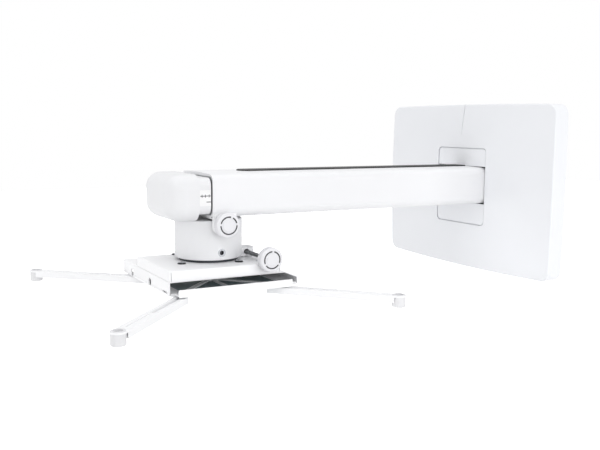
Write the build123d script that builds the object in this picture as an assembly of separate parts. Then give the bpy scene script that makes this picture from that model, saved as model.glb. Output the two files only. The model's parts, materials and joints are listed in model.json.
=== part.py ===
import os
from math import cos, sin, tan, radians, hypot, atan2, degrees

from build123d import *

os.makedirs("parts", exist_ok=True)

# Frame: the wall is the plane Y = 0 and the room lies toward minus Y. The arm's
# centre line is the Y axis, plus Z is up, and all sizes are millimetres.

# Clearances
RUN = 0.3            # between pieces that move against each other
SEAT = 0.1           # round a fastener in its hole

# Arm
ARM_W = 119.0        # width of the extrusion
ARM_H = 60.0         # height at the sides
ARM_T = 3.0          # wall
ARM_R = 11.5         # outer corner radius
ARM_CROWN = 1.2      # rise of the top in its middle
MOUTH_Y = -522.0     # front end of the arm
ARM_BACK_Y = -22.0   # wall end of the arm
STRIP_W = 30.0       # cable strip over the slot
STRIP_H = 1.9        # height of the strip over the crown
STRIP_FRONT = 64.0   # distance of the strip from the mouth
STRIP_BACK_Y = -34.5

# Inner beam that the arm slides on
BEAM_PAD = 1.6       # thickness of the glide pads
BEAM_GAP = BEAM_PAD + 0.4
BEAM_T = 3.0
BEAM_FRONT_Y = -330.0
PAD_L = 30.0

# Wall bracket
BRACKET_T = 3.0
BRACKET_W = 370.0
BRACKET_TOP = 115.0
BRACKET_BOTTOM = -120.0
BRACKET_RIM = 18.0
WALL_SLOT_X = 150.0
WALL_SLOT_Z = 80.0
WALL_SLOT_D = 9.0
WALL_SLOT_L = 26.0
FLANGE_T = 6.0
STUD_X = 78.0
STUD_Z = 36.0
STUD_D = 8.0

# Wall cover
COVER_W = 409.0
COVER_TOP = 134.0
COVER_BOTTOM = -140.0
COVER_BOW_SIDE = 2.0
COVER_BOW_TOP = 2.0
COVER_BOW_BOTTOM = 3.5
COVER_CORNER = 17.0
COVER_EDGE = 2.5
COVER_DEPTH = 32.0
COVER_DOME_R = 4960.0
COVER_T = 3.0
WINDOW_W = ARM_W + 3.4
WINDOW_TOP = ARM_H / 2 + 32.5
WINDOW_BOTTOM = -ARM_H / 2 - 38.5
WINDOW_R = 8.0
INFILL_GAP = 1.6     # round each infill plate
INFILL_SINK = 1.2    # depth of the infill plates below the cover
SLIT_TOP_X = 5.0     # the slit leans a little
SLIT_TOP_W = 1.5
SLIT_LOW_X = -2.0
SLIT_LOW_W = 0.4
SLIT_LOW_Z = 84.0

# Roll bearing in the mouth of the arm
PLUG_FRONT_Y = MOUTH_Y + 2.0
PLUG_L = 36.0
SHAFT_R = 10.0
SHAFT_TIP_Y = -466.0

# Head casting
ELBOW_FRONT_Y = -585.0
ELBOW_BACK_Y = -541.0
ELBOW_W = ARM_W - 3.0
ELBOW_TOP = 30.0
ELBOW_BOTTOM = -35.0
ELBOW_UPRIGHT_R = 25.0
ELBOW_TOP_R = 20.5
ELBOW_BOTTOM_R = 21.5
COLLAR_W = ARM_W - 5.0
COLLAR_H = 51.0
COLLAR_R = 11.0
COLLAR_END_Y = MOUTH_Y - 2.0
SHAFT_END_Y = ELBOW_FRONT_Y + 17.0
NECK_Y = -504.5
NECK_R = 49.0
NECK_TOP = -35.5
NECK_BOTTOM = -91.8
NECK_T = 8.0
NECK_ROOF = 13.0
POST_FLANGE_R = 43.0
SETSCREW_R = 5.7
SETSCREW_Z = -81.2

# Screws of the two hand wheels
KNOB_R = 17.5
KNOB_T = 15.5
THREAD_R = 2.8       # six millimetre thread, modelled a little under size
NUT_BORE_R = 3.4
ROLL_Y = -507.0
ROLL_Z = -39.0
ROLL_KNOB_X = 66.0
LUG_IN_X = 55.0
LUG_OUT_X = 63.0
ROLL_NUT_X = 35.0
ROLL_NUT_L = 10.0
ROLL_NUT_H = 8.6
ROLL_LIMIT = 3.0     # degrees to each side
SWIVEL_Y = -448.5
SWIVEL_Z = -88.7
SWIVEL_KNOB_X = 81.5
SWIVEL_NUT_X = 2.0
BARREL_R = 6.0

# Tray
TRAY_X0, TRAY_X1 = -58.5, 78.6
TRAY_Y0, TRAY_Y1 = -593.3, -425.8
TRAY_TOP = -95.8
TRAY_T = 2.2
TRAY_DROP = 14.0
TRAY_SCREW_Y = -507.5
TRAY_SCREW_R = 57.5
TRAY_SCREW_A = -59.6

# Rail carrier, one folded sheet under the tray
RAIL_X0, RAIL_X1 = -126.0, 76.0
RAIL_Y0, RAIL_Y1 = -593.5, -396.5
RAIL_TOP = -110.1
RAIL_BOTTOM = -130.8
RAIL_T = 1.8
SHOULDER_Y = -418.0
SHOULDER_Z = -119.0
RAIL_HOLE_R = 5.5
LIP_Y0, LIP_Y1 = -582.6, -416.0

# Spider plate and its backing sheet
PLATE_X0, PLATE_X1 = -102.0, 92.0
PLATE_T = 1.5
PLATE_Z = RAIL_BOTTOM + RAIL_T + RUN
PLATE_SIDE = 1.2
STRIP_Y0, STRIP_Y1 = -585.0, -414.0
STRIP_TOP = -119.5
BACKING_T = 1.5
PIVOT_X0, PIVOT_X1 = -86.0, 76.0
PIVOT_Y0, PIVOT_Y1 = -576.0, -424.0

# Legs
LEG_W = 20.0
LEG_H = 9.5
LEG_T = 2.0
LEG_L = 192.0        # foot centre to the inner end
LEG_TOP = -131.6
SLOT_W = 6.8
SLOT_START = LEG_L - 101.0
SLOT_END = LEG_L - 2.5
FOOT_R = 9.5
FOOT_TOP = -130.6
FOOT_BOTTOM = -148.0
FOOT_HOLE_R = 3.2
LEG_SCREW_R = 3.0
# Pivot of each leg, its direction in degrees and how far it is pushed in
LEGS = {
    "a": (PIVOT_X0, PIVOT_Y0, -132.53, 11.5),
    "b": (PIVOT_X1, PIVOT_Y0, -43.04, 6.2),
    "c": (PIVOT_X1, PIVOT_Y1, 43.11, 20.8),
    "d": (PIVOT_X0, PIVOT_Y1, 133.75, 30.0),
}


# Helpers
def block(x0, x1, y0, y1, z0, z1):
    size = Box(abs(x1 - x0), abs(y1 - y0), abs(z1 - z0))
    return Pos((x0 + x1) / 2, (y0 + y1) / 2, (z0 + z1) / 2) * size


def along_x(sketch, x0, x1):
    return extrude(Plane.YZ.offset(x0) * sketch, amount=x1 - x0)


def along_y(sketch, y_wall, y_room):
    return extrude(Plane.XZ.offset(-y_wall) * sketch, amount=y_wall - y_room)


def along_z(sketch, z0, z1):
    return extrude(Plane.XY.offset(z0) * sketch, amount=z1 - z0)


def pin_x(y, z, r, x0, x1):
    return along_x(Pos(y, z) * Circle(r), x0, x1)


def pin_y(x, z, r, y_wall, y_room):
    return along_y(Pos(x, z) * Circle(r), y_wall, y_room)


def pin_z(x, y, r, z0, z1):
    return along_z(Pos(x, y) * Circle(r), z0, z1)


def hexagon(across):
    return RegularPolygon(across / 2, 6, major_radius=False)


def turned_z(points):
    return revolve(Plane.XZ * make_face(Polyline(*points, close=True)), Axis.Z)


def save(name, *solids):
    pieces = []
    for item in solids:
        pieces.extend(item.solids())
    shape = pieces[0] if len(pieces) == 1 else Compound(children=pieces)
    shape.label = name
    export_step(shape, f"parts/{name}.step")
    print(name, len(pieces), "solid(s)")


def button_screw(r, length, head_r, head_h, socket):
    head = turned_z([(0, 0), (head_r, 0), (head_r, head_h * 0.45), (head_r * 0.62, head_h), (0, head_h)])
    shank = pin_z(0, 0, r, -length, 0)
    return head + shank - along_z(hexagon(socket), head_h * 0.35, head_h + 1)


def flat_screw(r, length, head_r, head_h, socket):
    head = turned_z([(0, 0), (head_r, 0), (head_r, -0.3), (r, -head_h), (0, -head_h)])
    shank = pin_z(0, 0, r, -length, -0.5)
    return head + shank - along_z(hexagon(socket), -head_h * 0.7, 1)


def hex_nut(r, across, height):
    body = along_z(hexagon(across), 0, height)
    crown = turned_z([
        (0, 0), (across * 0.5, 0), (across * 0.58, height * 0.14),
        (across * 0.58, height * 0.86), (across * 0.5, height), (0, height),
    ])
    return (body & crown) - pin_z(0, 0, r, -1, height + 1)


# Arm, an aluminium extrusion with a crowned top and a slot for cables
def arm_outline(grow=0.0):
    half = ARM_W / 2 - ARM_R
    top = ARM_H / 2 + grow
    crown = make_face([
        ThreePointArc((-half, top), (0, top + ARM_CROWN), (half, top)),
        Line((half, top), (-half, top)),
    ])
    return RectangleRounded(ARM_W + 2 * grow, ARM_H + 2 * grow, ARM_R + grow) + crown


def arm_bore(shrink=0.0):
    cut = 2 * (ARM_T + shrink)
    return RectangleRounded(ARM_W - cut, ARM_H - cut, ARM_R - ARM_T - shrink)


def strip_plan(width, front_y, back_y):
    nose = Pos(0, front_y + width / 2) * Circle(width / 2)
    middle = (front_y + width / 2 + back_y) / 2
    return nose + Pos(0, middle) * Rectangle(width, back_y - front_y - width / 2)


PLUG_NEAR_Y = MOUTH_Y + 4.4
PLUG_FAR_Y = MOUTH_Y + 28.5
PLUG_SCREWS_LUG = [(28, PLUG_NEAR_Y), (28, PLUG_FAR_Y), (44, PLUG_FAR_Y)]
PLUG_SCREWS_ARM = [(-28, PLUG_NEAR_Y), (-28, PLUG_FAR_Y)]
CLAMP_Y = (-64.0, -96.0)
ARM_IN_Z = -ARM_H / 2


def arm_tube():
    tube = along_y(arm_outline(), ARM_BACK_Y, MOUTH_Y)
    tube -= along_y(arm_bore(), ARM_BACK_Y + 1, MOUTH_Y - 1)
    slot_w = STRIP_W - 4.0
    slot = strip_plan(slot_w, MOUTH_Y + STRIP_FRONT + 2.0, STRIP_BACK_Y - 2.0)
    tube -= along_z(slot, 10, 40)
    for x, y in PLUG_SCREWS_LUG:
        tube -= pin_z(x, y, 2 + SEAT, -32, -20)
    for x, y in PLUG_SCREWS_ARM:
        tube -= Pos(x, y, ARM_IN_Z) * Rot(180, 0, 0) * turned_z(
            [(0, 1), (4.3, 1), (4.3, -0.2), (2 + SEAT, -2.4), (2 + SEAT, -6), (0, -6)])
    for y in CLAMP_Y:
        tube -= pin_z(0, y, 5.5 + SEAT, -32, -20)
    return tube


def cable_strip():
    top = ARM_H / 2 + ARM_CROWN
    front = MOUTH_Y + STRIP_FRONT
    cap = along_z(strip_plan(STRIP_W, front, STRIP_BACK_Y), ARM_H / 2 - 1, top + STRIP_H)
    cap -= along_y(arm_outline(), ARM_BACK_Y, MOUTH_Y)
    edges = cap.edges().group_by(Axis.Z)[-1]
    cap = chamfer(edges, 0.8)
    stem = strip_plan(STRIP_W - 4.6, front + 2.3, STRIP_BACK_Y - 2.3)
    return cap + along_z(stem, ARM_H / 2 - ARM_T + 0.2, top + 0.6)


def arm_glides():
    half_w = ARM_W / 2 - ARM_T
    half_h = ARM_H / 2 - ARM_T
    y0, y1 = ARM_BACK_Y - 2 - PAD_L, ARM_BACK_Y - 2
    pads = []
    for side in (-1, 1):
        inner = half_w - BEAM_PAD
        pads.append(block(side * inner, side * half_w, y0, y1, -14, 14))
        inner = half_h - BEAM_PAD
        pads.append(block(-38, 38, y0, y1, side * inner, side * half_h))
    return pads


def clamp_inserts():
    ring = turned_z([(4 + SEAT, -1.2), (7, -1.2), (7, 0), (5.5, 0), (5.5, ARM_T), (4 + SEAT, ARM_T)])
    return [Pos(0, y, ARM_IN_Z) * ring for y in CLAMP_Y]


def clamp_screws():
    top = ARM_IN_Z + ARM_T + BEAM_GAP - RUN
    screws = []
    for y in CLAMP_Y:
        screw = pin_z(0, y, 4, -36, top)
        screw -= Pos(0, y, -37) * along_z(hexagon(4), 0, 5)
        screws.append(screw)
    return screws


def bearing_plug():
    back = PLUG_FRONT_Y + PLUG_L
    plug = along_y(arm_bore(SEAT), back, PLUG_FRONT_Y)
    plug -= pin_y(0, 0, SHAFT_R + RUN, back + 1, PLUG_FRONT_Y - 1)
    for side in (-1, 1):
        pocket = Pos(side * 39, 3) * RectangleRounded(26, 34, 4)
        plug -= along_y(pocket, back + 1, PLUG_FRONT_Y + 5)
        plug -= pin_y(side * 18, 17, 4, back + 1, PLUG_FRONT_Y + 5)
    for x, y in PLUG_SCREWS_LUG + PLUG_SCREWS_ARM:
        plug -= pin_z(x, y, 2 + SEAT, -30, -17)
    return plug


def roll_lug():
    low = -ARM_H / 2
    front = MOUTH_Y + 0.5
    foot = block(20, LUG_OUT_X - 4, front, ROLL_Y + 20, low - 2, low)
    foot -= block(18, 46, ROLL_Y - 7.5, ROLL_Y + 7.5, low - 4, low + 2)
    blade = Pos(ROLL_Y + 2, ROLL_Z + 1) * RectangleRounded(33, 26, 7)
    ear = along_x(blade, LUG_IN_X, LUG_OUT_X) + block(LUG_IN_X, LUG_OUT_X, front, ROLL_Y + 18.5, low - 10, low + 6)
    lug = foot + ear
    lug -= along_y(arm_outline(), ARM_BACK_Y, MOUTH_Y - 5)
    lug -= pin_x(ROLL_Y, ROLL_Z, THREAD_R + 0.4, LUG_IN_X - 1, LUG_OUT_X + 1)
    for x, y in PLUG_SCREWS_LUG:
        lug -= Pos(x, y, -32) * Rot(180, 0, 0) * turned_z(
            [(0, 1), (4.1, 1), (4.1, -0.2), (2 + SEAT, -2.4), (2 + SEAT, -6), (0, -6)])
    return lug


def plug_screws():
    screw = Rot(180, 0, 0) * flat_screw(2, 12, 4, 1.9, 2.5)
    places = [Pos(x, y, -32) for x, y in PLUG_SCREWS_LUG]
    places += [Pos(x, y, ARM_IN_Z) for x, y in PLUG_SCREWS_ARM]
    return [place * screw for place in places]


# Wall side: pressed bracket, studs, fixed beam, cover and its two infill plates
def wall_bracket():
    half = BRACKET_W / 2
    plate = block(-half, half, -BRACKET_T, 0, BRACKET_BOTTOM, BRACKET_TOP)
    for z0, z1 in ((BRACKET_TOP - BRACKET_T, BRACKET_TOP), (BRACKET_BOTTOM, BRACKET_BOTTOM + BRACKET_T)):
        rim = block(-half, half, -BRACKET_RIM, 0, z0, z1)
        for x in (-120, 120):
            rim -= block(x - 9, x + 9, -14, -10, z0 - 1, z1 + 1)
        plate += rim
    for x in (-WALL_SLOT_X, WALL_SLOT_X):
        for z in (-WALL_SLOT_Z, WALL_SLOT_Z):
            slot = Pos(x, z) * SlotOverall(WALL_SLOT_L, WALL_SLOT_D)
            plate -= along_y(slot, 1, -BRACKET_T - 1)
    for x in (-STUD_X, STUD_X):
        for z in (-STUD_Z, STUD_Z):
            plate -= pin_y(x, z, STUD_D / 2 + 1.6 + SEAT, 1, -1.6)
            plate -= pin_y(x, z, STUD_D / 2 + SEAT, 1, -BRACKET_T - 1)
    return plate


def bracket_studs():
    stud = pin_y(0, 0, STUD_D / 2, 0, -20) + pin_y(0, 0, STUD_D / 2 + 1.6, 0, -1.6)
    return [Pos(x, 0, z) * stud for x in (-STUD_X, STUD_X) for z in (-STUD_Z, STUD_Z)]


def beam_nuts():
    nut = Pos(0, -BRACKET_T - FLANGE_T, 0) * Rot(90, 0, 0) * hex_nut(STUD_D / 2 + SEAT, 13, 6.5)
    return [Pos(x, 0, z) * nut for x in (-STUD_X, STUD_X) for z in (-STUD_Z, STUD_Z)]


def beam_outline(inset):
    cut = 2 * (ARM_T + BEAM_GAP + inset)
    return RectangleRounded(ARM_W - cut, ARM_H - cut, max(ARM_R - ARM_T - BEAM_GAP - inset, 2))


def inner_beam():
    wall_y = -BRACKET_T
    tube = along_y(beam_outline(0), wall_y - FLANGE_T + 1, BEAM_FRONT_Y)
    flange = along_y(RectangleRounded(2 * STUD_X + 26, 2 * STUD_Z + 26, 8), wall_y, wall_y - FLANGE_T)
    for x in (-STUD_X, STUD_X):
        for z in (-STUD_Z, STUD_Z):
            flange -= pin_y(x, z, STUD_D / 2 + SEAT, wall_y + 1, wall_y - FLANGE_T - 1)
    return tube + flange - along_y(beam_outline(BEAM_T), 0, BEAM_FRONT_Y - 1)


def beam_glides():
    half_w = ARM_W / 2 - ARM_T - BEAM_GAP
    half_h = ARM_H / 2 - ARM_T - BEAM_GAP
    y0, y1 = BEAM_FRONT_Y + 2, BEAM_FRONT_Y + 2 + PAD_L
    pads = []
    for side in (-1, 1):
        outer = half_w + BEAM_PAD
        pads.append(block(side * half_w, side * outer, y0, y1, -14, 14))
        outer = half_h + BEAM_PAD
        pads.append(block(-38, 38, y0, y1, side * half_h, side * outer))
    return pads


def cover_outline(inset=0.0):
    w = COVER_W / 2 - inset
    top = COVER_TOP - inset
    low = COVER_BOTTOM + inset
    mid = (top + low) / 2
    edge = [
        ThreePointArc((-w, top), (0, top + COVER_BOW_TOP), (w, top)),
        ThreePointArc((w, top), (w + COVER_BOW_SIDE, mid), (w, low)),
        ThreePointArc((w, low), (0, low - COVER_BOW_BOTTOM), (-w, low)),
        ThreePointArc((-w, low), (-w - COVER_BOW_SIDE, mid), (-w, top)),
    ]
    face = make_face(edge)
    return fillet(face.vertices(), COVER_CORNER - inset)


def dome(depth):
    return Pos(0, COVER_DOME_R - COVER_DEPTH, 0) * Sphere(COVER_DOME_R - depth)


def wall_cover():
    outer = along_y(cover_outline(), 0, -COVER_DEPTH - 5) & dome(0)
    rim = outer.edges().filter_by(lambda e: e.center().Y < -20)
    outer = fillet(rim, COVER_EDGE)
    inner = along_y(cover_outline(COVER_T), 1, -COVER_DEPTH - 5) & dome(COVER_T)
    cover = outer - inner
    window_z = (WINDOW_TOP + WINDOW_BOTTOM) / 2
    window = Pos(0, window_z) * RectangleRounded(WINDOW_W, WINDOW_TOP - WINDOW_BOTTOM, WINDOW_R)
    cover -= along_y(window, 1, -60)
    slit = make_face(Polyline(
        (SLIT_TOP_X - SLIT_TOP_W / 2, COVER_TOP + 5), (SLIT_TOP_X + SLIT_TOP_W / 2, COVER_TOP + 5),
        (SLIT_LOW_X + SLIT_LOW_W / 2, SLIT_LOW_Z), (SLIT_LOW_X - SLIT_LOW_W / 2, SLIT_LOW_Z), close=True))
    cover -= along_y(slit, 1, -60)
    for x in (-120, 120):
        cover += block(x - 8, x + 8, -13.5, -10.5, BRACKET_TOP - BRACKET_T + 0.5, COVER_TOP - 1.5)
        cover += block(x - 8, x + 8, -13.5, -10.5, COVER_BOTTOM - 0.5, BRACKET_BOTTOM + BRACKET_T - 0.5)
    return cover


def infill(z_arm, z_far):
    sign = 1 if z_far > z_arm else -1
    mid = (z_arm + z_far) / 2
    tall = abs(z_far - z_arm)
    half = WINDOW_W / 2 - INFILL_GAP
    face = Pos(0, mid) * Rectangle(2 * half, tall)
    corners = face.vertices().group_by(Axis.Y)[-1 if sign > 0 else 0]
    face = fillet(corners, WINDOW_R - INFILL_GAP)
    plate = along_y(face, 0, -60) & (dome(INFILL_SINK) - dome(COVER_T + 1.6))
    back = Pos(0, mid + sign * 2.5) * Rectangle(2 * half + 10, tall + 5)
    plate += along_y(back, 0, -60) & (dome(COVER_T + 0.3) - dome(COVER_T + 2.1))
    return plate


# Roll and swivel head, one casting: elbow, collar, neck and the lever behind it
def head_casting():
    mid_y = (ELBOW_FRONT_Y + ELBOW_BACK_Y) / 2
    elbow = block(-ELBOW_W / 2, ELBOW_W / 2, ELBOW_FRONT_Y, ELBOW_BACK_Y, ELBOW_BOTTOM, ELBOW_TOP)
    upright = elbow.edges().filter_by(Axis.Z).group_by(Axis.Y)[0]
    elbow = fillet(upright, ELBOW_UPRIGHT_R)
    top = elbow.faces().sort_by(Axis.Z)[-1].edges().filter_by(lambda e: e.center().Y < ELBOW_BACK_Y - 1)
    elbow = fillet(top, ELBOW_TOP_R)
    low = elbow.faces().sort_by(Axis.Z)[0].edges().filter_by(lambda e: e.center().Y < ELBOW_BACK_Y - 1)
    elbow = fillet(low, ELBOW_BOTTOM_R)
    collar = along_y(RectangleRounded(COLLAR_W, COLLAR_H, COLLAR_R), COLLAR_END_Y, ELBOW_BACK_Y - 4)
    head = elbow + collar
    for side in (-1, 1):
        pocket = Pos(side * 33, 0) * RectangleRounded(34, 40, 6)
        head -= along_y(pocket, COLLAR_END_Y + 1, SHAFT_END_Y + 2)
    seat = make_face(Polyline(
        (-NECK_R, ELBOW_BACK_Y), (NECK_R, ELBOW_BACK_Y), (NECK_R, mid_y), (-NECK_R, mid_y), close=True))
    seat &= Pos(0, NECK_Y) * Circle(NECK_R - 0.6)
    head += along_z(seat, NECK_TOP - 2, ELBOW_BOTTOM + 6)
    neck = pin_z(0, NECK_Y, NECK_R, NECK_BOTTOM, NECK_TOP)
    neck = fillet(neck.edges().filter_by(GeomType.CIRCLE), 1.6)
    neck -= pin_z(0, NECK_Y, NECK_R - NECK_T, NECK_BOTTOM - 1, NECK_TOP - NECK_ROOF)
    lever_y = SWIVEL_Y
    lever = Pos(0.5, lever_y - 1) * RectangleRounded(24, 31, 8)
    lever = along_z(lever, TRAY_TOP + 1.0, SWIVEL_Z + 6.4)
    lever -= pin_z(0, NECK_Y, NECK_R - NECK_T, NECK_BOTTOM - 5, NECK_TOP - NECK_ROOF)
    lever -= pin_z(0, NECK_Y, POST_FLANGE_R + 1.0, NECK_BOTTOM - 5, NECK_BOTTOM)
    lever -= pin_z(SWIVEL_NUT_X, lever_y, BARREL_R + RUN, TRAY_TOP, SWIVEL_Z + 8)
    lever -= pin_x(lever_y, SWIVEL_Z, 4.5, -20, 20)
    head += neck + lever
    head -= pin_y(0, 0, SHAFT_R + SEAT / 2, COLLAR_END_Y + 1, SHAFT_END_Y - 0.5)
    # The nut stays level on its screw while the head rolls round it
    tilt = tan(radians(ROLL_LIMIT))
    half_x = ROLL_NUT_L / 2 + ROLL_NUT_H / 2 * tilt + 0.22
    half_y = 6.0 + 0.2
    floor = ROLL_Z - ROLL_NUT_H / 2 - (ROLL_NUT_X + ROLL_NUT_L) * tilt
    head -= block(ROLL_NUT_X - half_x, ROLL_NUT_X + half_x, ROLL_Y - half_y, ROLL_Y + half_y, floor, NECK_TOP + 5)
    floor = ROLL_Z - THREAD_R - RUN - 52 * tilt
    head -= block(20, 52, ROLL_Y - 3.8, ROLL_Y + 3.8, floor, NECK_TOP + 2)
    for turn in (0, 120, 240):
        hole = Pos(0, NECK_Y, 0) * Rot(0, 0, turn) * pin_x(0, SETSCREW_Z, SETSCREW_R + SEAT, 38, 52)
        head -= hole
    return head


def neck_screws():
    screw = pin_x(0, SETSCREW_Z, SETSCREW_R, 39.2, NECK_R - 0.4)
    screw -= Pos(NECK_R - 4, 0, SETSCREW_Z) * Rot(0, 90, 0) * along_z(hexagon(6), 0, 8)
    return [Pos(0, NECK_Y, 0) * Rot(0, 0, turn) * screw for turn in (0, 120, 240)]


def roll_shaft():
    shaft = pin_y(0, 0, SHAFT_R, SHAFT_TIP_Y, SHAFT_END_Y)
    return chamfer(shaft.edges().filter_by(GeomType.CIRCLE), 1)


PLUG_BACK_Y = PLUG_FRONT_Y + PLUG_L


def shaft_washer():
    y = PLUG_BACK_Y + RUN
    return pin_y(0, 0, 18, y + 2.5, y) - pin_y(0, 0, SHAFT_R + SEAT, y + 4, y - 1)


def shaft_nut():
    y = PLUG_BACK_Y + RUN + 2.5
    return Pos(0, y + 11, 0) * Rot(90, 0, 0) * hex_nut(SHAFT_R + SEAT, 30, 11)


def roll_nut():
    x0, x1 = ROLL_NUT_X - ROLL_NUT_L / 2, ROLL_NUT_X + ROLL_NUT_L / 2
    nut = block(x0, x1, ROLL_Y - 6, ROLL_Y + 6, ROLL_Z - ROLL_NUT_H / 2, ROLL_Z + ROLL_NUT_H / 2)
    return chamfer(nut.edges().filter_by(Axis.X), 1) - pin_x(ROLL_Y, ROLL_Z, NUT_BORE_R, 20, 50)


def roll_scale():
    x = COLLAR_W / 2
    near = COLLAR_END_Y - 0.5
    band = block(x, x + 0.6, ELBOW_BACK_Y + 0.2, near, -13, 9)
    line_z, mark_z, half = 0.9, -7.4, 0.55
    band -= block(x + 0.35, x + 1, ELBOW_BACK_Y + 1, near + 1, line_z - half, line_z + half)
    band -= block(x + 0.35, x + 1, near - 6.5, near + 1, mark_z - half, mark_z + half)
    for y in (near - 13, near - 8, near - 2.6):
        band -= block(x + 0.35, x + 1, y - half, y + half, line_z - 2, line_z + 2)
    return band


def swivel_barrel():
    barrel = pin_z(SWIVEL_NUT_X, SWIVEL_Y, BARREL_R, SWIVEL_Z - 5.6, SWIVEL_Z + 6.2)
    barrel = chamfer(barrel.edges().filter_by(GeomType.CIRCLE), 0.6)
    return barrel - pin_x(SWIVEL_Y, SWIVEL_Z, NUT_BORE_R, -20, 20)


# Hand wheels: a fluted rim, an arc groove in three parts and a raised cap
def hand_wheel(y, z, x_back, gaps, bore_depth):
    rim = Circle(KNOB_R)
    flutes = 48
    cutters = []
    for i in range(flutes):
        a = radians(i * 360 / flutes)
        cutters.append(Pos((KNOB_R + 0.35) * cos(a), (KNOB_R + 0.35) * sin(a)) * Circle(0.85))
    rim = rim - cutters
    wheel = along_x(rim, 2.4, KNOB_T)
    shape = make_face(Polyline(
        (0, 0), (8, 0), (8, 2.4), (KNOB_R - 1.2, 2.4), (KNOB_R, 3.8),
        (KNOB_R, KNOB_T - 2.2), (KNOB_R - 1.8, KNOB_T - 0.4), (KNOB_R - 4, KNOB_T), (0, KNOB_T), close=True))
    form = Rot(0, 90, 0) * revolve(Plane.XZ * shape, Axis.Z)
    wheel = (wheel & form) + pin_x(0, 0, 8, 0, 2.6)
    ring = pin_x(0, 0, 12.9, KNOB_T - 1.8, KNOB_T + 1) - pin_x(0, 0, 10.9, KNOB_T - 2, KNOB_T + 2)
    for hours in gaps:
        a = 90 - hours * 30
        ring -= Rot(a, 0, 0) * block(KNOB_T - 3, KNOB_T + 3, 5, 16, -1.5, 1.5)
    wheel -= ring
    cap = Rot(0, 90, 0) * turned_z([(0, KNOB_T - 1), (9.4, KNOB_T - 1), (9.4, KNOB_T + 0.4), (8.4, KNOB_T + 1.1), (0, KNOB_T + 1.5)])
    wheel += cap
    wheel -= pin_x(0, 0, THREAD_R, -1, bore_depth)
    return Pos(x_back, y, z) * wheel


def roll_knob():
    return hand_wheel(ROLL_Y, ROLL_Z, ROLL_KNOB_X - 2.4, (9.25, 12.75, 2.75), 11)


def wheel_screw(y, z, tip_x, end_x, collar_x, collar_t):
    shank = pin_x(y, z, THREAD_R, tip_x, end_x)
    shank = chamfer(shank.edges().filter_by(GeomType.CIRCLE).sort_by(Axis.X)[0], 0.8)
    return shank + pin_x(y, z, 5, collar_x - collar_t, collar_x)


def roll_screw():
    return wheel_screw(ROLL_Y, ROLL_Z, 25.5, ROLL_KNOB_X + 8.5, LUG_IN_X - RUN, 1.1)


def swivel_knob():
    return hand_wheel(SWIVEL_Y, SWIVEL_Z, SWIVEL_KNOB_X - 2.4 + 1.0, (12.25, 4, 8), 11)


EAR_X0, EAR_X1 = 75.0, 79.4


def swivel_screw():
    return wheel_screw(SWIVEL_Y, SWIVEL_Z, -9.5, SWIVEL_KNOB_X + 9.5, EAR_X0 - RUN, 1.4)


# Tray and what stands on it
EAR_SCREW_Y = (SWIVEL_Y - 7.5, SWIVEL_Y + 7.5)
EAR_SCREW_X = 67.0
POST_SCREW_R = 24.0
POST_R = NECK_R - NECK_T - 0.5


def tray_screw_places():
    spots = []
    for i in range(4):
        a = radians(TRAY_SCREW_A + 90 * i)
        spots.append((TRAY_SCREW_R * cos(a), TRAY_SCREW_Y + TRAY_SCREW_R * sin(a)))
    return spots


def post_screw_places():
    spots = []
    for i in range(4):
        a = radians(45 + 90 * i)
        spots.append((POST_SCREW_R * cos(a), NECK_Y + POST_SCREW_R * sin(a)))
    return spots


def tray():
    shell = block(TRAY_X0, TRAY_X1, TRAY_Y0, TRAY_Y1, TRAY_TOP - TRAY_DROP, TRAY_TOP)
    shell = fillet(shell.faces().sort_by(Axis.Z)[-1].edges(), 2.0)
    t = TRAY_T
    shell -= block(TRAY_X0 + t, TRAY_X1 - t, TRAY_Y0 + t, TRAY_Y1 - t, TRAY_TOP - TRAY_DROP - 1, TRAY_TOP - t)
    for x in (TRAY_X0, TRAY_X1):
        for y in (TRAY_Y0, TRAY_Y1):
            mx = (TRAY_X0 + TRAY_X1) / 2
            my = (TRAY_Y0 + TRAY_Y1) / 2
            dx = 1 if x < mx else -1
            dy = 1 if y < my else -1
            shell -= block(x - dx, x + dx * t, y + dy * t, y + dy * (t + 0.8), TRAY_TOP - TRAY_DROP - 1, TRAY_TOP - t)
    for x, y in tray_screw_places():
        shell -= pin_z(x, y, 3 + SEAT, TRAY_TOP - 5, TRAY_TOP + 1)
    for x, y in post_screw_places():
        shell -= pin_z(x, y, 2.5 + SEAT, TRAY_TOP - 5, TRAY_TOP + 1)
    for y in EAR_SCREW_Y:
        shell -= pin_z(EAR_SCREW_X, y, 2 + SEAT, TRAY_TOP - 5, TRAY_TOP + 1)
    return shell


def tray_screws():
    length = TRAY_TOP - RAIL_TOP + RAIL_T + 6.5
    screw = button_screw(3, length, 6, 2.6, 4)
    return [Pos(x, y, TRAY_TOP) * screw for x, y in tray_screw_places()]


def tray_spacers():
    top = TRAY_TOP - TRAY_T
    ring = pin_z(0, 0, 6, RAIL_TOP, top) - pin_z(0, 0, 3 + SEAT, RAIL_TOP - 1, top + 1)
    return [Pos(x, y, 0) * ring for x, y in tray_screw_places()]


def tray_nuts():
    z = RAIL_TOP - RAIL_T - 5.2
    return [Pos(x, y, z) * hex_nut(3 + SEAT, 10, 5.2) for x, y in tray_screw_places()]


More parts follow.
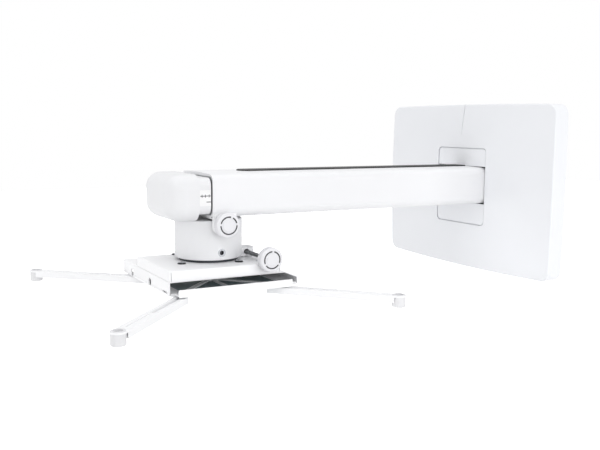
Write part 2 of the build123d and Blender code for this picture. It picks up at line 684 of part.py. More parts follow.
def swivel_post():
    post = revolve(Plane.XZ * make_face(Polyline(
        (0, TRAY_TOP), (POST_FLANGE_R, TRAY_TOP), (POST_FLANGE_R, NECK_BOTTOM - 0.4), (POST_R, NECK_BOTTOM - 0.4),
        (POST_R, SETSCREW_Z - 6), (38.5, SETSCREW_Z - 6), (38.5, SETSCREW_Z + 6), (POST_R, SETSCREW_Z + 6),
        (POST_R, TRAY_TOP + 42), (POST_R - 2, TRAY_TOP + 44), (32, TRAY_TOP + 44), (32, TRAY_TOP + 10),
        (0, TRAY_TOP + 10), close=True)), Axis.Z)
    for x, y in post_screw_places():
        post -= pin_z(x, y - NECK_Y, 2.5 + SEAT, TRAY_TOP - 1, TRAY_TOP + 11)
    return Pos(0, NECK_Y, 0) * post


def post_screws():
    screw = Rot(180, 0, 0) * button_screw(2.5, 10, 4.75, 2.8, 3)
    return [Pos(x, y, TRAY_TOP - TRAY_T) * screw for x, y in post_screw_places()]


def knob_ear():
    foot = block(60, EAR_X0 + 1, SWIVEL_Y - 11, SWIVEL_Y + 11, TRAY_TOP, TRAY_TOP + 2)
    blade = Pos(SWIVEL_Y, SWIVEL_Z) * Circle(8) + Pos(SWIVEL_Y, (SWIVEL_Z + TRAY_TOP) / 2) * Rectangle(22, SWIVEL_Z - TRAY_TOP)
    ear = foot + along_x(blade, EAR_X0, EAR_X1 - 0.8) & block(50, 90, SWIVEL_Y - 22, SWIVEL_Y + 22, TRAY_TOP, SWIVEL_Z + 20)
    ear -= pin_x(SWIVEL_Y, SWIVEL_Z, THREAD_R + 0.4, EAR_X0 - 2, EAR_X1 + 2)
    for y in EAR_SCREW_Y:
        ear -= pin_z(EAR_SCREW_X, y, 2 + SEAT, TRAY_TOP - 1, TRAY_TOP + 3)
    return ear


def ear_screws():
    screw = button_screw(2, 9, 3.5, 2.0, 2.5)
    return [Pos(EAR_SCREW_X, y, TRAY_TOP + 2) * screw for y in EAR_SCREW_Y]


def rail_carrier():
    t = RAIL_T
    slope = atan2(RAIL_TOP - SHOULDER_Z, RAIL_Y1 - SHOULDER_Y)
    outside = make_face(Polyline(
        (RAIL_Y0, RAIL_BOTTOM), (RAIL_Y0, RAIL_TOP), (SHOULDER_Y, RAIL_TOP),
        (RAIL_Y1, SHOULDER_Z), (RAIL_Y1, RAIL_BOTTOM), close=True))
    outside = fillet(outside.vertices(), 2.0)
    near, far = SHOULDER_Y - t * tan(slope / 2), SHOULDER_Z - t * tan(radians(45) - slope / 2)
    inside = make_face(Polyline(
        (RAIL_Y0 + t, RAIL_BOTTOM + t), (RAIL_Y0 + t, RAIL_TOP - t), (near, RAIL_TOP - t),
        (RAIL_Y1 - t, far), (RAIL_Y1 - t, RAIL_BOTTOM + t), close=True))
    c = along_x(outside, RAIL_X0, RAIL_X1) - along_x(inside, RAIL_X0 - 1, RAIL_X1 + 1)
    c -= block(RAIL_X0 - 1, RAIL_X1 + 1, LIP_Y0, LIP_Y1, RAIL_BOTTOM - 1, RAIL_BOTTOM + t + 1)
    for x in (-82.5, -2.1):
        c -= pin_y(x, RAIL_BOTTOM + 7.2, RAIL_HOLE_R, RAIL_Y0 + 3, RAIL_Y0 - 1)
    line_z = RAIL_BOTTOM + 4.4
    c -= along_y(Pos(RAIL_X1 - 16, line_z) * SlotOverall(20, 2.6), RAIL_Y0 + 3, RAIL_Y0 - 1)
    c -= block(RAIL_X0 - 1, RAIL_X1 - 28, RAIL_Y0 - 1, RAIL_Y0 + 0.5, line_z - 0.45, line_z + 0.45)
    for x, y in tray_screw_places():
        c -= pin_z(x, y, 3 + SEAT, RAIL_TOP - 4, RAIL_TOP + 1)
    for x, y in post_screw_places():
        c -= pin_z(x, y, 6, RAIL_TOP - 4, RAIL_TOP + 1)
    return c


# Spider plate with its webs, the dark backing sheet under it
def spider_plate():
    cx = (PIVOT_X0 + PIVOT_X1) / 2
    cy = (PIVOT_Y0 + PIVOT_Y1) / 2
    y0, y1 = RAIL_Y0 + RAIL_T + PLATE_SIDE, RAIL_Y1 - RAIL_T - PLATE_SIDE
    outline = Pos((PLATE_X0 + RAIL_X1) / 2, (y0 + y1) / 2) * Rectangle(RAIL_X1 - PLATE_X0, y1 - y0)
    front = Pos((RAIL_X1 + PLATE_X1) / 2 - 5, (STRIP_Y0 + STRIP_Y1) / 2)
    outline += front * Rectangle(PLATE_X1 - RAIL_X1 + 10, STRIP_Y1 - STRIP_Y0)
    hole_x0, hole_x1 = PIVOT_X0 + 2, PIVOT_X1 - 2
    hole_y0, hole_y1 = PIVOT_Y0 + 3, PIVOT_Y1 + 3
    hole = Pos((hole_x0 + hole_x1) / 2, (hole_y0 + hole_y1) / 2)
    webs = Pos(cx, cy) * Circle(15) + Pos(cx, cy) * Rectangle(hole_x1 - hole_x0 + 8, 6)
    for x in (PIVOT_X0, PIVOT_X1):
        for y in (PIVOT_Y0, PIVOT_Y1):
            run = hypot(x - cx, y - cy)
            turn = degrees(atan2(y - cy, x - cx))
            webs += Pos((x + cx) / 2, (y + cy) / 2) * Rot(0, 0, turn) * Rectangle(run, 7.5)
            webs += Pos(x, y) * Circle(10)
    opening = hole * Rectangle(hole_x1 - hole_x0, hole_y1 - hole_y0) - webs
    plate = along_z(outline - opening, PLATE_Z, PLATE_Z + PLATE_T)
    plate += block(PLATE_X1 - 1.6, PLATE_X1, STRIP_Y0, STRIP_Y1, PLATE_Z - 1.2, STRIP_TOP)
    for x in (PIVOT_X0, PIVOT_X1):
        for y in (PIVOT_Y0, PIVOT_Y1):
            plate -= pin_z(x, y, SLOT_W / 2, PLATE_Z - 2, PLATE_Z + 4)
    return plate


def backing_sheet():
    sheet = block(PLATE_X0 + 4, PLATE_X1 - 4, LIP_Y0 + 0.8, LIP_Y1 - 0.8, PLATE_Z - BACKING_T, PLATE_Z)
    for x in (PIVOT_X0, PIVOT_X1):
        for y in (PIVOT_Y0, PIVOT_Y1):
            sheet -= pin_z(x, y, SLOT_W / 2, PLATE_Z - 4, PLATE_Z + 2)
    return sheet


# Legs. Each is drawn along plus X from its foot, then laid on its own line
def leg_place(name):
    x, y, turn, inset = LEGS[name]
    reach = LEG_L - inset
    return Pos(x + reach * cos(radians(turn)), y + reach * sin(radians(turn)), 0) * Rot(0, 0, turn + 180)


def leg(name):
    end = LEG_L
    w = LEG_W / 2
    round_r = 6.0
    k = round_r * (1 - cos(radians(45)))
    plan = make_face([
        Line((0, w), (end - round_r, w)),
        ThreePointArc((end - round_r, w), (end - k, w - k), (end, w - round_r)),
        Line((end, w - round_r), (end, round_r - w)),
        ThreePointArc((end, round_r - w), (end - k, k - w), (end - round_r, -w)),
        Line((end - round_r, -w), (0, -w)),
        ThreePointArc((0, -w), (-w, 0), (0, w)),
    ])
    bar = along_z(plan, LEG_TOP - LEG_H, LEG_TOP)
    bar = fillet(bar.faces().sort_by(Axis.Z)[-1].edges(), 0.9)
    inside = Pos((12 + end + 5) / 2, 0) * Rectangle(end - 7, LEG_W - 2 * LEG_T)
    bar -= along_z(inside, LEG_TOP - LEG_H - 1, LEG_TOP - LEG_T)
    bar -= pin_z(0, 0, w + 1, LEG_TOP - LEG_H - 1, LEG_TOP - LEG_T)
    bar -= pin_z(0, 0, 6.5 + SEAT, LEG_TOP - LEG_H - 1, LEG_TOP + 1)
    slot = Pos((SLOT_START + SLOT_END) / 2, 0) * SlotOverall(SLOT_END - SLOT_START, SLOT_W)
    bar -= along_z(slot, LEG_TOP - LEG_H, LEG_TOP + 1)
    groove = Pos((SLOT_START + 14) / 2, 0) * SlotOverall(SLOT_START - 26, 2.4)
    bar -= along_z(groove, LEG_TOP - 0.8, LEG_TOP + 1)
    return leg_place(name) * bar


def foot(name):
    low = LEG_TOP - LEG_T
    bush = turned_z([
        (FOOT_HOLE_R, FOOT_BOTTOM), (FOOT_R - 1, FOOT_BOTTOM), (FOOT_R, FOOT_BOTTOM + 1),
        (FOOT_R, low), (6.5, low), (6.5, LEG_TOP), (FOOT_R - 0.6, LEG_TOP),
        (FOOT_R - 0.6, FOOT_TOP), (6.2, FOOT_TOP), (6.2, FOOT_TOP - 3), (FOOT_HOLE_R, FOOT_TOP - 3),
    ])
    return leg_place(name) * bush


def pivot(name):
    return Pos(LEGS[name][0], LEGS[name][1], 0)


def leg_screw(name):
    z = PLATE_Z + PLATE_T + RUN
    return pivot(name) * Pos(0, 0, z) * button_screw(LEG_SCREW_R, z - LEG_TOP + LEG_H - 0.3, 6, 3.3, 4)


NUT_TOP = LEG_TOP - LEG_T - RUN - 1.2


def leg_nut(name):
    return pivot(name) * Pos(0, 0, NUT_TOP - 5.2) * hex_nut(LEG_SCREW_R + SEAT, 10, 5.2)


def leg_washers(name):
    top = PLATE_Z - BACKING_T - RUN
    upper = pin_z(0, 0, 6.2, top - 0.8, top) - pin_z(0, 0, LEG_SCREW_R + SEAT, top - 3, top + 3)
    lower = pin_z(0, 0, 6.8, NUT_TOP, NUT_TOP + 1.2) - pin_z(0, 0, LEG_SCREW_R + SEAT, NUT_TOP - 3, NUT_TOP + 3)
    return [pivot(name) * upper, pivot(name) * lower]


# Build every piece
save("wall_bracket", wall_bracket())
save("bracket_studs", *bracket_studs())
save("inner_beam", inner_beam())
save("beam_nuts", *beam_nuts())
save("beam_glides", *beam_glides())
save("wall_cover", wall_cover())
save("infill_upper", infill(ARM_H / 2 + 1.6, WINDOW_TOP - INFILL_GAP))
save("infill_lower", infill(-ARM_H / 2 - 1.6, WINDOW_BOTTOM + INFILL_GAP))
save("arm_tube", arm_tube())
save("cable_strip", cable_strip())
save("arm_glides", *arm_glides())
save("clamp_inserts", *clamp_inserts())
save("clamp_screws", *clamp_screws())
save("bearing_plug", bearing_plug())
save("roll_lug", roll_lug())
save("plug_screws", *plug_screws())
save("head_casting", head_casting())
save("neck_screws", *neck_screws())
save("roll_shaft", roll_shaft())
save("shaft_washer", shaft_washer())
save("shaft_nut", shaft_nut())
save("roll_nut", roll_nut())
save("roll_scale", roll_scale())
save("swivel_barrel", swivel_barrel())
save("roll_knob", roll_knob())
save("roll_screw", roll_screw())
save("swivel_knob", swivel_knob())
save("swivel_screw", swivel_screw())
save("tray", tray())
save("tray_screws", *tray_screws())
save("tray_spacers", *tray_spacers())
save("tray_nuts", *tray_nuts())
save("swivel_post", swivel_post())
save("post_screws", *post_screws())
save("knob_ear", knob_ear())
save("ear_screws", *ear_screws())
save("rail_carrier", rail_carrier())
save("spider_plate", spider_plate())
save("backing_sheet", backing_sheet())
for name in LEGS:
    save(f"leg_{name}", leg(name))
    save(f"foot_{name}", foot(name))
    save(f"leg_screw_{name}", leg_screw(name))
    save(f"leg_nut_{name}", leg_nut(name))
    save(f"leg_washers_{name}", *leg_washers(name))
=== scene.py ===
# %% [markdown]
# # A white wall arm for a projector
# The solids come from the CAD frame: a domed wall cover, a straight extruded arm,
# a cast elbow with a round neck, two hand wheels, a folded tray with rails and a
# webbed plate with four legs. This script gives them their finishes, adds the
# screw threads that the solids leave out, and sets the light and the camera.

# %% Tools and the frame
import bpy
import json
import math
from mathutils import Matrix, Vector


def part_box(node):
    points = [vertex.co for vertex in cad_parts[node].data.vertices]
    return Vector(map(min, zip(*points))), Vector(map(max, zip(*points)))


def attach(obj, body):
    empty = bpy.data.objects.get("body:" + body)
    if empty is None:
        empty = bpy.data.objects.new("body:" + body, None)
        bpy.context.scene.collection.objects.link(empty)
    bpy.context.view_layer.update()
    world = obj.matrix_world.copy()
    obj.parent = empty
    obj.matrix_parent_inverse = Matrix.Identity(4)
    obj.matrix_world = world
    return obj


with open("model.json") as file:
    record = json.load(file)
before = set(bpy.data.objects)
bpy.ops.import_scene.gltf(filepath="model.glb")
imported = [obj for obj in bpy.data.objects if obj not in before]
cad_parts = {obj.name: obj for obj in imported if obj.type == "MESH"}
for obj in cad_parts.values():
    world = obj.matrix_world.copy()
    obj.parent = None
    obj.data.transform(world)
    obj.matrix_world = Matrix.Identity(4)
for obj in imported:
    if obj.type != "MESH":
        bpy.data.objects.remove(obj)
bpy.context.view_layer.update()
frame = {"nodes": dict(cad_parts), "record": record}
nodes = frame["nodes"]
MM = 0.001

# %% [markdown]
# ## Painted and moulded surfaces
# Powder coat is never flat. It has a fine orange peel, and its gloss wanders a
# little. One function makes every painted or moulded finish from a colour, a gloss
# and the size and depth of its grain, so that cast, folded and extruded parts differ
# by numbers alone. Object coordinates carry the pattern, because the pieces share one
# frame, and nothing depends on where the camera stands.

# %% Small helpers for node trees
MIX_A, MIX_B, MIX_OUT = 6, 7, 2    # the colour sockets of a Mix node


def link(tree, a, b):
    tree.links.new(a, b)


def node_at(tree, kind, x, y, **values):
    made = tree.nodes.new(kind)
    made.location = (x, y)
    for key, value in values.items():
        setattr(made, key, value)
    return made


def noise(tree, coords, scale, detail, x, y):
    made = node_at(tree, "ShaderNodeTexNoise", x, y)
    made.inputs["Scale"].default_value = scale
    made.inputs["Detail"].default_value = detail
    link(tree, coords, made.inputs["Vector"])
    return made.outputs["Fac"]


def span(tree, value, low, high, x, y):
    made = node_at(tree, "ShaderNodeMapRange", x, y)
    made.inputs["To Min"].default_value = low
    made.inputs["To Max"].default_value = high
    link(tree, value, made.inputs["Value"])
    return made.outputs["Result"]


# %% A finish from a few numbers
PATCH_SCALE = 18.0      # slow changes of gloss and shade, about a hand wide
GLOSS_SPREAD = 0.06     # how far the roughness wanders each way
SHADE_SPREAD = 0.03     # how much darker the darkest patch is
SPECULAR = 0.45
BUMP_STRENGTH = 0.5


def finish(name, colour, rough, grain, depth, metal=0.0):
    """colour and roughness, grain in bumps per metre, depth of the grain in millimetres"""
    mat = bpy.data.materials.new(name)
    mat.use_nodes = True
    tree = mat.node_tree
    shader = tree.nodes["Principled BSDF"]
    shader.inputs["Metallic"].default_value = metal
    shader.inputs["Specular IOR Level"].default_value = SPECULAR
    coords = node_at(tree, "ShaderNodeTexCoord", -1100, 0).outputs["Object"]
    slow = noise(tree, coords, PATCH_SCALE, 3.0, -900, 200)
    fine = noise(tree, coords, grain, 2.0, -900, -200)
    gloss = span(tree, slow, rough - GLOSS_SPREAD, rough + GLOSS_SPREAD, -700, 0)
    link(tree, gloss, shader.inputs["Roughness"])
    shade = span(tree, slow, 1.0 - SHADE_SPREAD, 1.0, -700, 250)
    paint = node_at(tree, "ShaderNodeMix", -450, 250, data_type="RGBA", blend_type="MULTIPLY")
    paint.inputs["Factor"].default_value = 1.0
    paint.inputs[MIX_A].default_value = (*colour, 1.0)
    link(tree, shade, paint.inputs[MIX_B])
    link(tree, paint.outputs[MIX_OUT], shader.inputs["Base Color"])
    bump = node_at(tree, "ShaderNodeBump", -300, -200)
    bump.inputs["Strength"].default_value = BUMP_STRENGTH
    bump.inputs["Distance"].default_value = depth * MM
    link(tree, fine, bump.inputs["Height"])
    link(tree, bump.outputs["Normal"], shader.inputs["Normal"])
    return mat


# %% The paints, plastics and metals of this mount
arm_white = finish("arm_white", (0.80, 0.803, 0.82), 0.42, 900, 0.05)
sheet_white = finish("sheet_white", (0.86, 0.862, 0.875), 0.46, 1100, 0.05)
cast_white = finish("cast_white", (0.75, 0.754, 0.77), 0.48, 700, 0.09)
cover_plastic = finish("cover_plastic", (0.80, 0.812, 0.84), 0.40, 1400, 0.03)
# painted shade: the backing sheet under the webbed plate is a dark sheet that stands in for the shade in
# the gap between tray and plate. The near-black steel here was first made for it; the sheet now wears the
# blue-grey of the next line.
black_steel = finish("black_steel", (0.030, 0.034, 0.042), 0.45, 1200, 0.05)
sheet_back = finish("sheet_back", (0.17, 0.225, 0.245), 0.42, 1200, 0.03)
plate_white = finish("plate_white", (0.90, 0.90, 0.91), 0.40, 1100, 0.04)
# black plastic; on the bush's flange under the neck its black is also painted shade, for the shadow gap
# beneath the neck's rim
black_plastic = finish("black_plastic", (0.012, 0.012, 0.013), 0.5, 1500, 0.05)
glide_plastic = finish("glide_plastic", (0.74, 0.73, 0.68), 0.35, 800, 0.03)
bare_aluminium = finish("bare_aluminium", (0.68, 0.69, 0.70), 0.38, 600, 0.05, metal=1.0)
zinc_steel = finish("zinc_steel", (0.62, 0.63, 0.65), 0.30, 1600, 0.03, metal=1.0)
oiled_steel = finish("oiled_steel", (0.33, 0.34, 0.345), 0.28, 1600, 0.03, metal=1.0)
print("mixed twelve finishes, roughness from 0.28 to 0.50")

# %% [markdown]
# ## Painted shade in grooves and sockets, printed ticks
# The hand wheels have an arc groove round their caps, the collar has a scale of plain
# ticks, and the screws have hexagon sockets. All are cut in the solids. The ticks are
# dark print. In the grooves and sockets the materials darken the floor of the cut as
# painted shade, and the tray screws are dark below the top of their heads, also painted
# shade. A mask by distance from an axis or by height finds these places, in the same
# coordinates as the frame.

# %% A second colour where a mask says so
def masked(mat, dark, build):
    tree = mat.node_tree
    shader = tree.nodes["Principled BSDF"]
    old = shader.inputs["Base Color"].links[0].from_socket
    coords = node_at(tree, "ShaderNodeTexCoord", -1400, 500).outputs["Object"]
    parts = node_at(tree, "ShaderNodeSeparateXYZ", -1200, 500)
    link(tree, coords, parts.inputs["Vector"])
    mask = build(tree, parts)
    swap = node_at(tree, "ShaderNodeMix", -150, 400, data_type="RGBA")
    link(tree, mask, swap.inputs["Factor"])
    link(tree, old, swap.inputs[MIX_A])
    swap.inputs[MIX_B].default_value = (*dark, 1.0)
    link(tree, swap.outputs[MIX_OUT], shader.inputs["Base Color"])
    return mat


def sum_of(tree, operation, a, b, x=-900, y=500):
    made = node_at(tree, "ShaderNodeMath", x, y, operation=operation)
    for socket, value in zip(made.inputs, (a, b)):
        if isinstance(value, (int, float)):
            socket.default_value = value
        else:
            link(tree, value, socket)
    return made.outputs["Value"]


def reach_of(tree, a, b):
    """distance from an axis, from the two offsets across it"""
    square = sum_of(tree, "ADD", sum_of(tree, "MULTIPLY", a, a), sum_of(tree, "MULTIPLY", b, b))
    return sum_of(tree, "POWER", square, 0.5)


# %% Masks for the ring of a wheel, the sockets and the ticks
RING_IN, RING_OUT = 10.7, 13.1      # the groove and a little of each side
RING_TOP, RING_FLOOR = 0.5, 2.2     # below the wheel's face


# painted shade: dark in a wheel's arc groove and a little to each side of it
def groove_shade_mask(centre_y, centre_z, face_x):
    def build(tree, parts):
        dy = sum_of(tree, "SUBTRACT", parts.outputs["Y"], centre_y * MM)
        dz = sum_of(tree, "SUBTRACT", parts.outputs["Z"], centre_z * MM)
        reach = reach_of(tree, dy, dz)
        outside = sum_of(tree, "GREATER_THAN", reach, RING_IN * MM)
        inside = sum_of(tree, "LESS_THAN", reach, RING_OUT * MM)
        low = sum_of(tree, "LESS_THAN", parts.outputs["X"], (face_x - RING_TOP) * MM)
        high = sum_of(tree, "GREATER_THAN", parts.outputs["X"], (face_x - RING_FLOOR) * MM)
        band = sum_of(tree, "MULTIPLY", outside, inside)
        return sum_of(tree, "MULTIPLY", band, sum_of(tree, "MULTIPLY", low, high))
    return build


def below_mask(height):
    def build(tree, parts):
        return sum_of(tree, "LESS_THAN", parts.outputs["Z"], height * MM)
    return build


def near_axis_mask(axis_y, radius):
    def build(tree, parts):
        dy = sum_of(tree, "SUBTRACT", parts.outputs["Y"], axis_y * MM)
        return sum_of(tree, "LESS_THAN", reach_of(tree, parts.outputs["X"], dy), radius * MM)
    return build


def tick_mask(floor_x):
    def build(tree, parts):
        return sum_of(tree, "LESS_THAN", parts.outputs["X"], floor_x * MM)
    return build


# %% Hand wheels, feet, scale and screw heads
WHEEL_WHITE = (0.72, 0.72, 0.745)
# painted shade for the arc grooves of the wheels' caps; the dark of the ticks is print
GROOVE_SHADE = (0.075, 0.075, 0.08)
TICK_DARK = (0.06, 0.06, 0.07)
# painted shade for the screws: the sockets of the neck's set screws, and the tray screws below the top of
# their heads
SCREW_SHADE = (0.05, 0.05, 0.055)
CAP_RISE = 1.5          # the cap stands this far out of the wheel's face
FILM_FLOOR = 0.45       # the ticks reach this far up from the scale's back
# the tray screws keep their steel colour only in this thin rim at the top of the head, with painted shade
# below it
HEAD_RIM = 0.5          # a tray screw's head is bright from its top down to here
NECK_AXIS_Y = -504.5
NECK_R = 49.0
# deeper than this inside the neck's surface, the set screw's socket takes painted shade
SOCKET_DEEP = 1.4       # from the neck's surface to where a socket counts as dark


def axis_of(bar):
    """Y and Z in millimetres of a round bar that lies along X"""
    low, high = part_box(bar)
    return (low[1] + high[1]) / 2 / MM, (low[2] + high[2]) / 2 / MM


def wheel_finish(name, wheel, bar):
    face_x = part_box(wheel)[1][0] / MM - CAP_RISE
    print(wheel, "has its face at", round(face_x, 1), "mm")
    # the groove on each wheel's face gets painted shade
    return masked(finish(name, WHEEL_WHITE, 0.45, 1500, 0.04), GROOVE_SHADE, groove_shade_mask(*axis_of(bar), face_x))


roll_white = wheel_finish("roll_wheel_white", "roll_knob", "roll_screw")
swivel_white = wheel_finish("swivel_wheel_white", "swivel_knob", "swivel_screw")
foot_white = finish("foot_white", (0.72, 0.72, 0.735), 0.5, 1300, 0.05)
scale_film = finish("scale_film", (0.82, 0.82, 0.825), 0.35, 1500, 0.01)
masked(scale_film, TICK_DARK, tick_mask(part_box("roll_scale")[0][0] / MM + FILM_FLOOR))
# painted shade: below the top rim of their heads the tray screws take a dark colour, for the shadows and
# dark outlines round the heads
tray_screw_steel = finish("tray_screw_steel", (0.50, 0.51, 0.53), 0.30, 1600, 0.03, metal=1.0)
masked(tray_screw_steel, SCREW_SHADE, below_mask(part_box("tray_screws")[1][2] / MM - HEAD_RIM))
# painted shade: the set screws are dark deeper inside the neck, in their sockets, where shade falls
neck_screw_steel = finish("neck_screw_steel", (0.34, 0.35, 0.37), 0.30, 1600, 0.03, metal=1.0)
masked(neck_screw_steel, SCREW_SHADE, near_axis_mask(NECK_AXIS_Y, NECK_R - SOCKET_DEEP))

# %% Dress every solid
by_slot = {
    "arm_white": arm_white, "sheet_white": sheet_white, "cast_white": cast_white,
    "cover_plastic": cover_plastic, "black_steel": black_steel, "black_plastic": black_plastic,
    "glide_plastic": glide_plastic, "bare_aluminium": bare_aluminium, "scale_film": scale_film,
    "zinc_steel": zinc_steel, "wheel_plastic": foot_white,
}
by_node = {
    "roll_knob": roll_white, "swivel_knob": swivel_white,
    "roll_screw": oiled_steel, "swivel_screw": oiled_steel,
    "tray_screws": tray_screw_steel, "neck_screws": neck_screw_steel,
    # the backing sheet's blue-grey is painted shade
    "backing_sheet": sheet_back, "spider_plate": plate_white,
}
slot_of = {row["node"]: row["material_slot"] for row in frame["record"]["subparts"]}
for name, obj in nodes.items():
    mat = by_node.get(name, by_slot[slot_of[name]])
    for place in obj.material_slots:
        place.material = mat
print("dressed", len(nodes), "pieces")

# %% [markdown]
# ## Threads by rule
# The screws of the hand wheels are plain bars in the solids. A real one carries a
# helix, one turn to each pitch. Geometry Nodes draw it: a spiral gives the path, a
# small triangle is swept along it, and the inputs are radius, pitch and length, so the
# same rule serves every screw. The result is kept as a plain mesh on the screw's body.

# %% One node group for every thread
def thread_group():
    group = bpy.data.node_groups.new("thread", "GeometryNodeTree")
    face = group.interface
    face.new_socket("Geometry", in_out="OUTPUT", socket_type="NodeSocketGeometry")
    wanted = (("Radius", 0.0027), ("Pitch", 0.001), ("Length", 0.03), ("Depth", 0.0005))
    ids = {}
    for name, value in wanted:
        made = face.new_socket(name, in_out="INPUT", socket_type="NodeSocketFloat")
        made.default_value = value
        ids[name] = made.identifier
    made = face.new_socket("Material", in_out="INPUT", socket_type="NodeSocketMaterial")
    ids["Material"] = made.identifier
    enter = node_at(group, "NodeGroupInput", -900, 0)
    leave = node_at(group, "NodeGroupOutput", 700, 0)
    turns = node_at(group, "ShaderNodeMath", -700, 200, operation="DIVIDE")
    link(group, enter.outputs["Length"], turns.inputs[0])
    link(group, enter.outputs["Pitch"], turns.inputs[1])
    path = node_at(group, "GeometryNodeCurveSpiral", -400, 100)
    path.inputs["Resolution"].default_value = 20
    link(group, turns.outputs["Value"], path.inputs["Rotations"])
    link(group, enter.outputs["Radius"], path.inputs["Start Radius"])
    link(group, enter.outputs["Radius"], path.inputs["End Radius"])
    link(group, enter.outputs["Length"], path.inputs["Height"])
    tooth = node_at(group, "GeometryNodeCurvePrimitiveCircle", -400, -200)
    tooth.inputs["Resolution"].default_value = 3
    link(group, enter.outputs["Depth"], tooth.inputs["Radius"])
    lean = node_at(group, "GeometryNodeSetCurveNormal", -200, 100)
    lean.mode = "Z_UP"
    link(group, path.outputs["Curve"], lean.inputs["Curve"])
    sweep = node_at(group, "GeometryNodeCurveToMesh", 0, 0)
    sweep.inputs["Fill Caps"].default_value = True
    link(group, lean.outputs["Curve"], sweep.inputs["Curve"])
    face_out = node_at(group, "GeometryNodeTransform", -200, -200)
    face_out.inputs["Rotation"].default_value = (0, 0, math.pi)
    link(group, tooth.outputs["Curve"], face_out.inputs["Geometry"])
    link(group, face_out.outputs["Geometry"], sweep.inputs["Profile Curve"])
    real = node_at(group, "GeometryNodeRealizeInstances", 200, 0)
    link(group, sweep.outputs["Mesh"], real.inputs["Geometry"])
    dye = node_at(group, "GeometryNodeSetMaterial", 400, 0)
    link(group, real.outputs["Geometry"], dye.inputs["Geometry"])
    link(group, enter.outputs["Material"], dye.inputs["Material"])
    link(group, dye.outputs["Geometry"], leave.inputs["Geometry"])
    return group, ids


THREAD, THREAD_IN = thread_group()
print("the thread's inputs:", ", ".join(THREAD_IN))


# %% From a node group to a plain mesh
def bake(name, group, values, turn):
    """Evaluates a node group once and returns a plain mesh object at the origin."""
    seed = bpy.data.objects.new(name + "_seed", bpy.data.meshes.new(name + "_seed"))
    bpy.context.collection.objects.link(seed)
    rule = seed.modifiers.new("rule", "NODES")
    rule.node_group = group
    for key, value in values.items():
        rule[key] = value
    bpy.context.view_layer.update()
    mesh = bpy.data.meshes.new_from_object(seed.evaluated_get(bpy.context.evaluated_depsgraph_get()))
    bpy.data.objects.remove(seed)
    mesh.transform(turn)
    mesh.name = name
    made = bpy.data.objects.new(name, mesh)
    bpy.context.collection.objects.link(made)
    return made


# %% Threads on the wheels' screws
# The crests reach 3 mm, as on a six millimetre screw. That also leaves room in the
# lower screw's nut, which shifts a little sideways as the tray turns.
THREAD_R = 2.64         # middle of the tooth, inside the bar's surface
THREAD_DEPTH = 0.36     # from there to the crest
THREAD_PITCH = 1.0
TIP_FREE = 1.0          # plain end at the tip
ROLL_THREAD_L = 25.0
SWIVEL_THREAD_L = 80.0


def thread(name, bar, length, body):
    """a thread along X on a bar, from just inside its lower end"""
    start = Vector((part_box(bar)[0][0] / MM + TIP_FREE, *axis_of(bar))) * MM
    turn = Matrix.Translation(start) @ Vector((1, 0, 0)).to_track_quat("Z", "Y").to_matrix().to_4x4()
    values = {
        THREAD_IN["Radius"]: THREAD_R * MM, THREAD_IN["Pitch"]: THREAD_PITCH * MM,
        THREAD_IN["Length"]: length * MM, THREAD_IN["Depth"]: THREAD_DEPTH * MM,
        THREAD_IN["Material"]: oiled_steel,
    }
    made = bake(name, THREAD, values, turn)
    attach(made, body)
    print(name, len(made.data.polygons), "faces")


thread("roll_thread", "roll_screw", ROLL_THREAD_L, "roll_wheel")
thread("swivel_thread", "swivel_screw", SWIVEL_THREAD_L, "swivel_wheel")

# %% [markdown]
# ## Camera
# The photograph is a catalogue shot from the front right, a little above the arm. The
# camera's place, direction and lens come from fitting the straight edges of arm and
# cover. It is level but for half a degree of roll.

# %% Camera
CAMERA_AT = Vector((1.0641, -0.9506, 0.1004))
LOOK = Vector((-0.86418, 0.48698, -0.12667)).normalized()
ROLL = math.radians(0.53)
LENS = 47.54
flat = LOOK.cross(Vector((0, 0, 1))).normalized()
lift = flat.cross(LOOK).normalized()
right = math.cos(ROLL) * flat + math.sin(ROLL) * lift
up = -math.sin(ROLL) * flat + math.cos(ROLL) * lift
camera = bpy.data.objects.new("camera", bpy.data.cameras.new("camera"))
bpy.context.collection.objects.link(camera)
camera.matrix_world = Matrix((
    (right.x, up.x, -LOOK.x, CAMERA_AT.x),
    (right.y, up.y, -LOOK.y, CAMERA_AT.y),
    (right.z, up.z, -LOOK.z, CAMERA_AT.z),
    (0, 0, 0, 1)))
camera.data.lens = LENS
camera.data.sensor_width = 36.0
camera.data.sensor_fit = "HORIZONTAL"
camera.data.clip_start = 0.01
bpy.context.scene.camera = camera
print("camera at", tuple(round(c, 3) for c in CAMERA_AT), "with a lens of", LENS, "mm")

# %% [markdown]
# ## Light
# The near side of the arm is almost white, the front of the elbow a little darker and
# the round neck darker still. So the broad lamps stand on the right, and weaker ones
# fill from the front, the left and below. Each power follows from comparing the greys
# of the faces with the photograph. Two narrow lamps lift the tray and the lower right
# of the cover.

# %% Lamps
LAMP_SOFTNESS = 0.12    # radius of a narrow lamp, for soft edges to its shadow


def aim(name, data, place, target):
    made = bpy.data.objects.new(name, data)
    made.location = place
    made.rotation_euler = (Vector(target) - Vector(place)).to_track_quat("-Z", "Y").to_euler()
    bpy.context.collection.objects.link(made)
    return made


def lamp(name, place, target, size, power, size_y=None):
    data = bpy.data.lights.new(name, "AREA")
    data.energy = power
    data.size = size
    if size_y:
        data.shape = "RECTANGLE"
        data.size_y = size_y
    return aim(name, data, place, target)


def spot(name, place, target, cone, power, blend=0.7):
    data = bpy.data.lights.new(name, "SPOT")
    data.energy = power
    data.spot_size = math.radians(cone)
    data.spot_blend = blend
    data.shadow_soft_size = LAMP_SOFTNESS
    return aim(name, data, place, target)


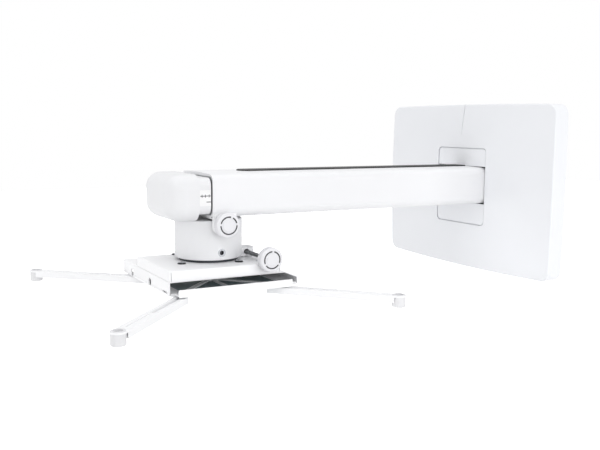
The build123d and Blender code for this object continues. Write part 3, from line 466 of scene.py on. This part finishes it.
lamp("key_light", (1.3, -1.9, 1.8), (0, -0.35, 0), 1.2, 6)
lamp("side_light", (2.3, 0.8, 0.25), (0, -0.35, 0), 1.4, 12, 1.0)
lamp("high_side_light", (2.4, -0.2, 1.3), (0, -0.35, 0), 1.2, 7)
lamp("gap_light", (2.2, -0.9, 0.35), (0.05, -0.5, -0.115), 0.5, 6, 0.25)
lamp("front_light", (0.4, -2.6, 0.5), (0, -0.35, 0), 1.6, 3, 1.2)
lamp("left_light", (-1.3, -2.3, 0.1), (0, -0.35, 0), 1.6, 6, 1.2)
lamp("low_light", (-0.2, -2.2, -0.62), (0, -0.35, 0), 1.6, 4, 0.5)
lamp("top_light", (-0.3, -0.6, 2.2), (0, -0.35, 0), 1.8, 19)

spot("tray_spot", (1.6, -0.85, 0.5), (0.07, -0.50, -0.12), 8.0, 13)
spot("cover_spot", (0.75, -0.95, -0.45), (0.11, 0, -0.07), 19.0, 7, blend=1.0)
print("set", len(bpy.data.lights), "lamps")

# %% [markdown]
# ## The white sweep
# A catalogue's background is pure white, but a world that bright would wash the object
# out. So camera and mirror rays see white, and all other rays get a dimmer sky that
# only fills the shade. The floor adds the same white to its own shading, so that it
# keeps the object's shadow.

# %% World
SKY = 0.62


def seen_white(tree):
    """1 for rays that see the sweep itself or its mirror image, 0 for those that carry light."""
    path = node_at(tree, "ShaderNodeLightPath", -900, 300)
    seen = [path.outputs[kind] for kind in ("Is Camera Ray", "Is Glossy Ray", "Is Transmission Ray")]
    return sum_of(tree, "MAXIMUM", seen[0], sum_of(tree, "MAXIMUM", seen[1], seen[2], -700, 250), -500, 300)


world = bpy.data.worlds.new("sweep")
world.use_nodes = True
bpy.context.scene.world = world
wt = world.node_tree
plain = wt.nodes["Background"]
plain.inputs["Color"].default_value = (1, 1, 1, 1)
plain.inputs["Strength"].default_value = SKY
white = node_at(wt, "ShaderNodeBackground", 0, -200)
white.inputs["Color"].default_value = (1, 1, 1, 1)
white.inputs["Strength"].default_value = 1.0
both = node_at(wt, "ShaderNodeMixShader", 250, 0)
link(wt, seen_white(wt), both.inputs["Fac"])
link(wt, plain.outputs["Background"], both.inputs[1])
link(wt, white.outputs["Background"], both.inputs[2])
link(wt, both.outputs["Shader"], wt.nodes["World Output"].inputs["Surface"])

# %% Floor
FLOOR_Z = -0.75
HALF = 9.0

floor_mesh = bpy.data.meshes.new("floor")
corners = [(-HALF, -HALF, 0), (HALF, -HALF, 0), (HALF, HALF, 0), (-HALF, HALF, 0)]
floor_mesh.from_pydata(corners, [], [(0, 1, 2, 3)])
floor = bpy.data.objects.new("floor", floor_mesh)
floor.location = (0, 0, FLOOR_Z)
bpy.context.collection.objects.link(floor)
floor_mat = bpy.data.materials.new("floor")
floor_mat.use_nodes = True
ft = floor_mat.node_tree
base = ft.nodes["Principled BSDF"]
base.inputs["Base Color"].default_value = (0.85, 0.85, 0.85, 1)
base.inputs["Roughness"].default_value = 0.9
glow = node_at(ft, "ShaderNodeEmission", -200, -300)
link(ft, seen_white(ft), glow.inputs["Strength"])
sum_shader = node_at(ft, "ShaderNodeAddShader", 150, 0)
link(ft, base.outputs["BSDF"], sum_shader.inputs[0])
link(ft, glow.outputs["Emission"], sum_shader.inputs[1])
link(ft, sum_shader.outputs["Shader"], ft.nodes["Material Output"].inputs["Surface"])
floor_mesh.materials.append(floor_mat)
bpy.context.scene.view_settings.view_transform = "Standard"
